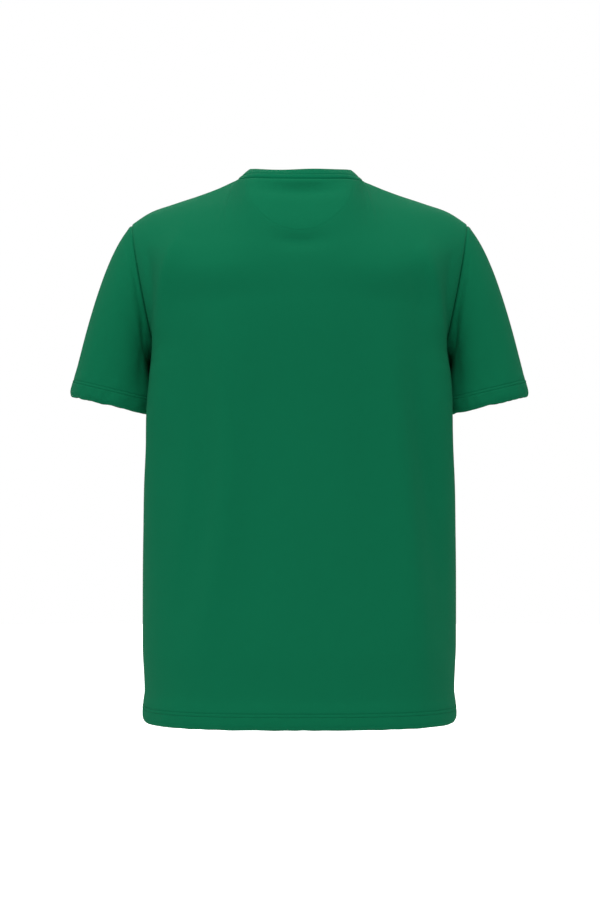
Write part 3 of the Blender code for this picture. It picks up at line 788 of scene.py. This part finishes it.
def band():
    """Neck band as a piece: straight lines from the seam to the top edge, crowned by a sine."""
    seam, edge = band_loops()
    width = np.linalg.norm(edge - seam, axis=1).mean()
    near = np.array(SEAM_NEARBY) / width
    groove = np.array(GROOVE_NEARBY) / width + BAND_STITCH
    t = np.unique(np.concatenate((
        [0.0], near, np.linspace(near[-1], BAND_STITCH - BAND_CLEAR, 4), groove,
        np.linspace(BAND_STITCH + BAND_CLEAR, 1 - 0.5 * RIB / width, 7),
    )))[:, None, None]
    form = (1 - t) * seam + t * edge
    form = form + BAND_CROWN * np.sin(math.pi * t) * normals(form, wraps=True)
    uneven = BAND_RISE * bell(edge[:, 0] - BAND_RISE_X, BAND_RISE_WIDTH) * (edge[:, 1] > 0)
    form[..., 2] += t[..., 0] ** 2 * uneven
    up = lengths(form, axis=0)
    height = seam_height(up) - GROOVE_DEPTHS[1] * bell(up - BAND_STITCH * width, GROOVE_WIDTH)
    uv = np.stack((lengths(closed(form), axis=1), closed(up)), axis=-1)
    return {"form": form, "height": height, "thickness": np.full(up.shape, RIB), "uv": uv, "wraps": True}


def worn_neck(form):
    """How far the uneven neck lies from the even one: it leans over and moves aside above the
    shoulders, and its seam dips in a bell of height at both sides."""
    x, z = form[..., 0], form[..., 2]
    high = smoothstep((z + NECK_TILT_Z) / NECK_TILT_Z)
    aside = smoothstep((np.abs(x) - NECK_DIP_X[0]) / NECK_DIP_X[1])
    dip = aside * bell(z - NECK_DIP_Z[0], NECK_DIP_Z[1])
    up = NECK_TILT * x * high - NECK_DIP * dip
    return np.stack((-NECK_SHIFT * high, np.zeros(x.shape), up), axis=-1)


def share_seam_normals(pieces):
    """Give points of different pieces that are sewn together one common normal."""
    points = np.concatenate([piece["form"].reshape(-1, 3) for piece in pieces])
    leans = np.concatenate([piece["normal"].reshape(-1, 3) for piece in pieces])
    _, group = np.unique(np.round(points, 6), axis=0, return_inverse=True)
    group = group.ravel()
    total = np.zeros((group.max() + 1, 3))
    np.add.at(total, group, leans)
    ends = np.cumsum([piece["normal"].size // 3 for piece in pieces])[:-1]
    for piece, shared in zip(pieces, np.split(unit(total[group]), ends)):
        piece["normal"] = shared.reshape(piece["normal"].shape)


def half_moon(inner, normal, moon):
    """Half-moon inside the back neck: rows across it are read down the back's inner face,
    between the neck seam and the superellipse."""
    middle = inner.shape[1] // 2
    reach = np.abs(moon[-1, :, 0])
    side = np.argmax(reach[middle:] > 1.0)
    across = np.sin(np.linspace(-math.pi / 2, math.pi / 2, PATCH_COLUMNS))
    away = np.interp(np.abs(across), reach[middle:middle + side + 1], np.arange(side + 1))
    column = middle + away * np.sign(across)
    face = at_columns(inner, column)[::-1]
    lean = unit(at_columns(normal, column))[::-1]
    depth = PATCH_DEPTH * (1 - np.abs(across) ** PATCH_ROUND) ** (1 / PATCH_ROUND)
    depth = np.maximum(depth, PATCH_TOP_DROP + PATCH_END)
    t = np.concatenate((PATCH_NEAR_EDGE, np.linspace(1.0, 0.05, PATCH_ROWS)[1:], [0.0]))
    points, leans = [], []
    for i in range(PATCH_COLUMNS):
        length = lengths(face[:, i])
        at = PATCH_TOP_DROP + (depth[i] - PATCH_TOP_DROP) * t
        points.append(read(face[:, i], length, at))
        leans.append(unit(read(lean[:, i], length, at)))
    points, leans = np.stack(points, axis=1), np.stack(leans, axis=1)
    uv = np.stack((lengths(points, axis=1), lengths(points[::-1], axis=0)[::-1]), axis=-1)
    return points - LAY_GAP * leans, leans, uv


# Meshes -----
def quad_corners(rows, columns, wraps):
    """Row and column numbers of each cell's corners, anticlockwise from outside."""
    across = columns if wraps else columns - 1
    r, c = np.meshgrid(np.arange(rows - 1), np.arange(across), indexing="ij")
    r, c = r.ravel(), c.ravel()
    return np.stack((r, r, r + 1, r + 1), axis=1), np.stack((c, c + 1, c + 1, c), axis=1)


def rim_lines(rows, columns, wraps):
    """Row and column numbers along the open edges, anticlockwise from outside."""
    if wraps:
        ring = np.arange(columns + 1)
        return [(np.zeros_like(ring), ring), (np.full_like(ring, rows - 1), ring[::-1])]
    number = np.arange(rows * columns).reshape(rows, columns)
    loop = (number[0], number[1:, -1], number[-1, -2::-1], number[-2::-1, 0])
    return [np.divmod(np.concatenate(loop), columns)]


def add_object(name, points, faces, uvs, material):
    """Smooth mesh at the origin, from whole arrays."""
    mesh = bpy.data.meshes.new(name)
    mesh.from_pydata(points.tolist(), [], faces.tolist())
    for layer, corner_uv in uvs.items():
        mesh.uv_layers.new(name=layer).data.foreach_set("uv", corner_uv.astype(np.float32).ravel())
    mesh.materials.append(material)
    mesh.shade_smooth()
    mesh.set_sharp_from_angle(angle=SHARP_ANGLE)
    piece = bpy.data.objects.new(name, mesh)
    bpy.context.scene.collection.objects.link(piece)
    return piece


def shell(name, outer, inner, uvs, material, wraps=False):
    """Closed wall of cloth: the outer grid, the inner grid turned round, and the rims."""
    rows, columns = outer.shape[:2]
    count = rows * columns
    r, c = quad_corners(rows, columns, wraps)
    outside = r * columns + c % columns
    faces = [outside, outside[:, ::-1] + count]
    corner_r, corner_c = [r, r[:, ::-1]], [c, c[:, ::-1]]
    for rim_r, rim_c in rim_lines(rows, columns, wraps):
        line = rim_r * columns + rim_c % columns
        faces.append(np.stack((line[1:], line[:-1], line[:-1] + count, line[1:] + count), axis=1))
        corner_r.append(np.stack((rim_r[1:], rim_r[:-1], rim_r[:-1], rim_r[1:]), axis=1))
        corner_c.append(np.stack((rim_c[1:], rim_c[:-1], rim_c[:-1], rim_c[1:]), axis=1))
    corner_r, corner_c = np.concatenate(corner_r), np.concatenate(corner_c)
    corner_uvs = {layer: uv[corner_r, corner_c] for layer, uv in uvs.items()}
    points = np.concatenate((outer.reshape(-1, 3), inner.reshape(-1, 3)))
    return add_object(name, points, np.concatenate(faces), corner_uvs, material)


def ribbed_ring(name, piece, material):
    """Neck band: its outer face, a half round over the top edge, and its inner face, closed
    underneath."""
    outer = piece["outer"]
    normal = piece["normal"]
    radius = RIB / 2
    angle = np.linspace(0.0, math.pi, 9)[1:-1, None, None]
    up = unit(outer[-1] - outer[-2])
    round_top = outer[-1] - radius * (1 - np.cos(angle)) * normal[-1] + radius * np.sin(angle) * up
    inner = (outer - RIB * normal)[::-1][::2]
    loop = np.concatenate((outer, round_top, inner), axis=0)
    rows, columns = loop.shape[:2]
    v = lengths(closed(loop), axis=0)
    u = np.broadcast_to(piece["uv"][:1, :, 0], v.shape)
    uv = np.concatenate((np.stack((u, v), axis=-1), np.stack((u[:1], v[-1:] + RIB), axis=-1)), axis=0)
    r, c = quad_corners(rows + 1, columns, True)
    faces = (r % rows) * columns + c % columns
    return add_object(name, loop.reshape(-1, 3), faces, {"cloth": uv[r, c]}, material)


def sew(name, lines, material):
    """Rows of stitches.  Each stitch is a short thread that dips at both ends: rings of
    points along it, thinner and lower towards its ends."""
    rings = np.array((0.0, 0.12, 0.5, 0.88, 1.0))
    thick = np.array((0.25, 0.85, 1.0, 0.85, 0.25))
    lift = np.array((-0.9, 0.2, 0.75, 0.2, -0.9))
    sides = 6
    turn = np.arange(sides) * 2 * math.pi / sides
    points, faces, uvs = [], [], []
    start = 0
    for path, normal in lines:
        length = lengths(path)
        count = max(1, int(round(length[-1] / (STITCH + STITCH_GAP))))
        pitch = length[-1] / count
        at = (np.arange(count)[:, None] + 0.5 * (1 - STITCH / pitch)) * pitch + rings * STITCH
        centre = read(path, length, at)
        out = unit(read(normal, length, at))
        run = unit(centre[:, -1:] - centre[:, :1])
        side = unit(np.cross(run, out))
        centre = centre + (THREAD * lift)[None, :, None] * out
        ring = np.cos(turn)[:, None] * side[:, :, None, :] + np.sin(turn)[:, None] * out[:, :, None, :]
        body = centre[:, :, None, :] + THREAD * thick[None, :, None, None] * ring
        number = start + np.arange(body[..., 0].size).reshape(body.shape[:3])
        a, b = number[:, :-1], number[:, 1:]
        quads = np.stack((a, np.roll(a, -1, axis=2), np.roll(b, -1, axis=2), b), axis=-1)
        caps = np.concatenate((
            number[:, 0][:, [[0, 5, 4, 3], [3, 2, 1, 0]]].reshape(-1, 4),
            number[:, -1][:, [[0, 1, 2, 3], [3, 4, 5, 0]]].reshape(-1, 4),
        ))
        points.append(body.reshape(-1, 3))
        faces.append(np.concatenate((quads.reshape(-1, 4), caps)))
        start += body[..., 0].size
    points = np.concatenate(points)
    faces = np.concatenate(faces)
    along = np.stack((points[:, 0] + points[:, 1], points[:, 2]), axis=-1)
    return add_object(name, points, faces, {"cloth": along[faces]}, material)


# Materials -----
def give(node, values):
    """Set a node's inputs, and link those whose value is another node's output."""
    for name, value in values.items():
        if isinstance(value, bpy.types.NodeSocket):
            node.id_data.links.new(value, node.inputs[name])
        else:
            node.inputs[name].default_value = value


def wire(tree, kind, inputs=None, **settings):
    """Add a node with its settings and inputs."""
    made = tree.nodes.new(kind)
    for name, value in settings.items():
        setattr(made, name, value)
    give(made, inputs or {})
    return made


def calculate(tree, operation, *values):
    return wire(tree, "ShaderNodeMath", dict(enumerate(values)), operation=operation).outputs[0]


def ramp(tree, value, start, end, low=0.0, high=1.0, steps="SMOOTHSTEP"):
    """Value that goes from low to high between start and end."""
    ends = {"From Min": start, "From Max": end, "To Min": low, "To Max": high}
    made = wire(tree, "ShaderNodeMapRange", {"Value": value, **ends}, interpolation_type=steps)
    return made.outputs["Result"]


def new_group(name, inputs, outputs):
    """Shader node group: each input has a value, or is a vector where it has none."""
    tree = bpy.data.node_groups.new(name, "ShaderNodeTree")
    for label, value in inputs.items():
        kind = "NodeSocketVector" if value is None else "NodeSocketFloat"
        socket = tree.interface.new_socket(label, in_out="INPUT", socket_type=kind)
        if value is not None:
            socket.default_value = value
    for label in outputs:
        tree.interface.new_socket(label, in_out="OUTPUT", socket_type="NodeSocketFloat")
    return tree, tree.nodes.new("NodeGroupInput").outputs, tree.nodes.new("NodeGroupOutput")


def knit_group():
    """Plain knit: each wale is two legs, squared sines across it, and the loops are cosines
    along it that lag towards the wale's edges, which makes them V shapes."""
    inputs = {"Place": None, "Wale": 0.0008, "Course": 0.0006, "Slant": 1.1}
    tree, given, made = new_group("knit loops", inputs, ("Height", "Shade"))
    place = wire(tree, "ShaderNodeSeparateXYZ", {0: given["Place"]}).outputs
    wale = calculate(tree, "DIVIDE", place["X"], given["Wale"])
    course = calculate(tree, "DIVIDE", place["Y"], given["Course"])
    legs = calculate(tree, "SINE", calculate(tree, "MULTIPLY", wale, 2 * math.pi))
    legs = calculate(tree, "MULTIPLY", legs, legs)
    lag = calculate(tree, "MULTIPLY", calculate(tree, "PINGPONG", wale, 0.5), given["Slant"])
    loops = calculate(tree, "MULTIPLY", calculate(tree, "SUBTRACT", course, lag), 2 * math.pi)
    loops = calculate(tree, "MULTIPLY_ADD", calculate(tree, "COSINE", loops), LOOP_SWING, 1 - LOOP_SWING)
    height = calculate(tree, "MULTIPLY", legs, loops)
    give(made, {"Height": height, "Shade": ramp(tree, height, 0.0, 1.0, *LOOP_SHADE, steps="LINEAR")})
    return tree


def tone_group():
    """Uneven dye and pile: slow and fast noise that lightens and darkens a little."""
    tree, given, made = new_group("cloth tone", {"Amount": 0.05}, ("Tone", "Fuzz"))
    place = wire(tree, "ShaderNodeTexCoord").outputs["Object"]
    slow, fast = (
        wire(tree, "ShaderNodeTexNoise", {"Vector": place, "Scale": scale, "Detail": 2.0}).outputs["Fac"]
        for scale in TONE_SCALES)
    both = calculate(tree, "ADD", slow, fast)
    swing = calculate(tree, "MULTIPLY", calculate(tree, "SUBTRACT", both, 1.0), given["Amount"])
    give(made, {"Tone": calculate(tree, "ADD", swing, 1.0), "Fuzz": fast})
    return tree


def moon_group():
    """Half-moon showing through: its place is a superellipse of the half_moon map.  Inside it
    the cloth is raised, and two fine lines mark the outline and the needle row within it."""
    inputs = {"Place": None, "Round": PATCH_ROUND}
    tree, given, made = new_group("half-moon mark", inputs, ("Raised", "Line"))
    place = wire(tree, "ShaderNodeSeparateXYZ", {0: given["Place"]}).outputs
    terms = [
        calculate(tree, "POWER", calculate(tree, "ABSOLUTE", place[axis]), given["Round"])
        for axis in "XY"]
    total = calculate(tree, "ADD", *terms)
    field = calculate(tree, "POWER", total, calculate(tree, "DIVIDE", 1.0, given["Round"]))
    inward = calculate(tree, "MULTIPLY", calculate(tree, "SUBTRACT", 1.0, field), PATCH_DEPTH)
    raised = ramp(tree, inward, *MOON_STEP)
    lines = []
    for at in (0.0, PATCH_STITCH_IN):
        away = calculate(tree, "ABSOLUTE", calculate(tree, "SUBTRACT", inward, at))
        lines.append(ramp(tree, away, 0.0, MOON_LINE_WIDTH, 1.0, 0.0))
    give(made, {"Raised": raised, "Line": calculate(tree, "MAXIMUM", *lines)})
    return tree


def cloth_material(name, knit, tone, moon):
    """Dyed cotton: knit loops and tone over one colour, with a bump for the loops.  On the back, the
    half-moon and its lines get painted light that makes them a little lighter, and only the lines lie
    lower."""
    colour, wale, course, depth, roughness, marked = CLOTHS[name]
    material = bpy.data.materials.new(name)
    material.use_nodes = True
    tree = material.node_tree
    place = wire(tree, "ShaderNodeUVMap", uv_map="cloth").outputs["UV"]
    sizes = {"Place": place, "Wale": wale, "Course": course}
    loops = wire(tree, "ShaderNodeGroup", sizes, node_tree=knit).outputs
    dye = wire(tree, "ShaderNodeGroup", node_tree=tone).outputs
    shade = calculate(tree, "MULTIPLY", loops["Shade"], dye["Tone"])
    if marked:
        place = wire(tree, "ShaderNodeUVMap", uv_map="half_moon").outputs["UV"]
        mark = wire(tree, "ShaderNodeGroup", {"Place": place}, node_tree=moon).outputs
        # painted light: the half-moon and its lines are made a little lighter
        lighter = [
            calculate(tree, "MULTIPLY_ADD", mark[part], more, 1.0) for part, more in MOON_PAINTED_LIGHT.items()]
        shade = calculate(tree, "MULTIPLY", shade, calculate(tree, "MULTIPLY", *lighter))
    dyed = wire(tree, "ShaderNodeVectorMath", {0: colour, "Scale": shade}, operation="SCALE")
    rough = calculate(tree, "MULTIPLY_ADD", dye["Fuzz"], FUZZ, roughness - FUZZ / 2)
    bump = wire(tree, "ShaderNodeBump", {
        "Height": loops["Height"], "Distance": depth, "Strength": KNIT_BUMP})
    if marked:
        relief = calculate(tree, "SUBTRACT", mark["Raised"], mark["Line"])
        bump = wire(tree, "ShaderNodeBump", {
            "Height": relief, "Distance": PATCH_RAISE, "Strength": MOON_BUMP,
            "Normal": bump.outputs["Normal"]})
    give(tree.nodes["Principled BSDF"], {
        "Base Color": dyed.outputs["Vector"], "Roughness": rough, "Normal": bump.outputs["Normal"],
        "Specular IOR Level": 0.05, "Sheen Weight": 0.015, "Sheen Roughness": 0.55,
        "Sheen Tint": (0.45, 0.95, 0.70, 1.0),
    })
    return material


# Studio -----
CAMERA_DISTANCE = 3.0
CAMERA_Z = -0.348
PIXELS_PER_METRE = 775.0  # at the garment's middle
FRAME = (600, 900)
MIDDLE = (299.5, 449.7)  # pixel that the camera's axis meets
SENSOR = 36.0
FLOOR_Z = -1.02
FLOOR_RADIUS = 6.0
FLOOR_SIDES = 96
SKY_LIGHT = 0.705  # what the surroundings give; the camera sees them white
LAMP_SIZE = 1.8
LAMP_AIM = (0.0, 0.0, -0.1)
LAMPS = (
    ("key", (0.300, 1.310, 2.680), 39.5),
    ("top", (0.0, 0.538, 2.953), 23.0),
    ("side", (2.300, 2.000, 0.400), 8.0),
    ("front", (0.0, -2.540, 1.680), 45.0),
)


def camera():
    """Camera behind the garment, whose axis meets one pixel of the frame."""
    data = bpy.data.cameras.new("camera")
    data.sensor_width = SENSOR
    data.lens = data.sensor_width * PIXELS_PER_METRE * CAMERA_DISTANCE / FRAME[1]
    data.shift_x = (FRAME[0] / 2 - MIDDLE[0]) / FRAME[1]
    data.shift_y = -(FRAME[1] / 2 - MIDDLE[1]) / FRAME[1]
    seen = bpy.data.objects.new("camera", data)
    seen.location = (0.0, CAMERA_DISTANCE, CAMERA_Z)
    seen.rotation_euler = (math.pi / 2, 0.0, math.pi)
    bpy.context.scene.collection.objects.link(seen)
    bpy.context.scene.camera = seen


def lamp(name, place, power):
    """Large soft lamp that faces the garment."""
    data = bpy.data.lights.new(name, "AREA")
    data.shape = "DISK"
    data.size = LAMP_SIZE
    data.energy = power
    made = bpy.data.objects.new(name, data)
    made.location = place
    way = np.array(LAMP_AIM) - np.array(place)
    yaw = math.atan2(way[1], way[0]) - math.pi / 2
    pitch = math.atan2(way[2], math.hypot(way[0], way[1])) + math.pi / 2
    made.rotation_euler = (pitch, 0.0, yaw)
    made.visible_camera = False
    bpy.context.scene.collection.objects.link(made)


def studio():
    """Flat round floor, pale but white to the camera, white surroundings and large soft lamps."""
    material = bpy.data.materials.new("pale_floor")
    material.use_nodes = True
    seen = wire(material.node_tree, "ShaderNodeLightPath").outputs["Is Camera Ray"]
    give(material.node_tree.nodes["Principled BSDF"], {
        "Base Color": (0.80, 0.80, 0.80, 1.0), "Roughness": 0.9,
        "Emission Color": (1.0, 1.0, 1.0, 1.0), "Emission Strength": seen,
    })
    ring = np.linspace(0.0, 2 * math.pi, FLOOR_SIDES + 1)[:-1]
    across, along = FLOOR_RADIUS * np.cos(ring), FLOOR_RADIUS * np.sin(ring)
    points = np.column_stack((across, along, np.full(FLOOR_SIDES, FLOOR_Z)))
    floor = add_object("floor", points, np.arange(FLOOR_SIDES)[None, :], {}, material)

    world = bpy.data.worlds.new("white surroundings")
    world.use_nodes = True
    tree = world.node_tree
    seen = wire(tree, "ShaderNodeLightPath").outputs["Is Camera Ray"]
    strength = wire(tree, "ShaderNodeMix", {0: seen, 2: SKY_LIGHT, 3: 1.0}, data_type="FLOAT")
    give(tree.nodes["Background"], {"Strength": strength.outputs[0], "Color": (1.0, 1.0, 1.0, 1.0)})
    bpy.context.scene.world = world
    for name, place, power in LAMPS:
        lamp(name, place, power)
    bpy.context.scene.view_settings.view_transform = "Standard"


# The garment -----
def needle_path(piece, level):
    """Line along the grid row nearest to a distance above the edge, with its normals."""
    row = int(np.argmin(np.abs(piece["up"] - level)))
    lines = [piece[grid][row:row + 1] for grid in ("outer", "normal")]
    return [(closed(line) if piece["wraps"] else line)[0] for line in lines]


def moon_path(outer, normal, moon, inset):
    """Needle row inside the half-moon's outline, on the back's outer face."""
    share = 1 - inset / PATCH_DEPTH
    angle = np.linspace(MOON_END, math.pi - MOON_END, MOON_PLACES)
    power = 2 / PATCH_ROUND
    across = share * signed_power(np.cos(angle), power)
    down = share * np.abs(np.sin(angle)) ** power
    middle = outer.shape[1] // 2
    reach = moon[-1, :, 0].copy()
    reach[:middle] *= -1
    column = np.interp(across, reach, np.arange(outer.shape[1]))
    depth = moon[::-1, np.floor(column).astype(int), 1]
    path, lean = (
        np.array([read(lines[::-1, i], depth[:, i], down[i]) for i in range(MOON_PLACES)])
        for lines in (at_columns(outer, column), at_columns(normal, column)))
    return path, unit(lean)


def make_garment():
    """All pieces of cloth and thread, each attached to the root body, with the solids they stand for
    hidden.
    """
    groups = knit_group(), tone_group(), moon_group()
    jersey, back_jersey, rib, thread = (cloth_material(name, *groups) for name in CLOTHS)
    pieces = {
        "back_panel": panel(1), "front_panel": panel(-1),
        "sleeve_left": sleeve(1), "sleeve_right": sleeve(-1), "collar_band": band(),
    }
    for piece in pieces.values():
        piece["form"] = piece["form"] + worn_neck(piece["form"])
        piece["normal"] = normals(piece["form"], piece["wraps"])
    share_seam_normals(list(pieces.values()))
    for piece in pieces.values():
        piece["outer"] = piece["form"] + piece["height"][..., None] * piece["normal"]
        piece["inner"] = piece["outer"] - piece["thickness"][..., None] * piece["normal"]
        piece["up"] = piece["uv"][:, 0, 1]
    back, collar = pieces["back_panel"], pieces["collar_band"]

    made = {}
    for name, piece in list(pieces.items())[:-1]:  # all but the neck band
        uvs, cloth = {"cloth": piece["uv"]}, jersey
        if piece is back:
            uvs["half_moon"], cloth = piece["moon"], back_jersey
        made[name] = shell(name + "_cloth", piece["outer"], piece["inner"], uvs, cloth, piece["wraps"])
    made["collar_band"] = ribbed_ring("collar_band_rib", collar, rib)
    top, lean, uv = half_moon(back["inner"], back["normal"], back["moon"])
    made["back_neck_patch"] = shell(
        "back_neck_patch_cloth", top, top - PATCH * lean, {"cloth": uv}, jersey)

    rows = {
        "body_hem_thread": (("back_panel", "front_panel"), HEM_ROWS),
        "cuff_thread_left": (("sleeve_left",), CUFF_ROWS),
        "cuff_thread_right": (("sleeve_right",), CUFF_ROWS),
        "collar_thread": (("collar_band",), (BAND_STITCH * collar["up"][-1] / BAND_TOP,)),
    }
    for name, (under, levels) in rows.items():
        lines = [needle_path(pieces[each], level) for each in under for level in levels]
        made[name] = sew(name, lines, thread)
    path, lean = moon_path(back["outer"], back["normal"], back["moon"], PATCH_STITCH_IN)
    through_all = (JERSEY + LAY_GAP + PATCH) * lean
    made["half_moon_thread"] = sew(
        "half_moon_thread", [(path, lean), (path - through_all, -lean)], jersey)

    for name, piece in made.items():
        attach(piece, "root")
        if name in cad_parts:
            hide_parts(name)
    for name, (flat, area, sewn) in CUTS.items():
        with_it = [made[each] for each in sewn]


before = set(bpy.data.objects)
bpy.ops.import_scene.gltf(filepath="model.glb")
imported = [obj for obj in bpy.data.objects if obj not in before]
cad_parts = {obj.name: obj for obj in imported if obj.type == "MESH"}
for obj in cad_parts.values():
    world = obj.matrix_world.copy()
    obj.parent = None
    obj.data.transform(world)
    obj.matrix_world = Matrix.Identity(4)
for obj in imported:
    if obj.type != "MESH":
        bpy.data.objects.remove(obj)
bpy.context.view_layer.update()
camera()
studio()
make_garment()
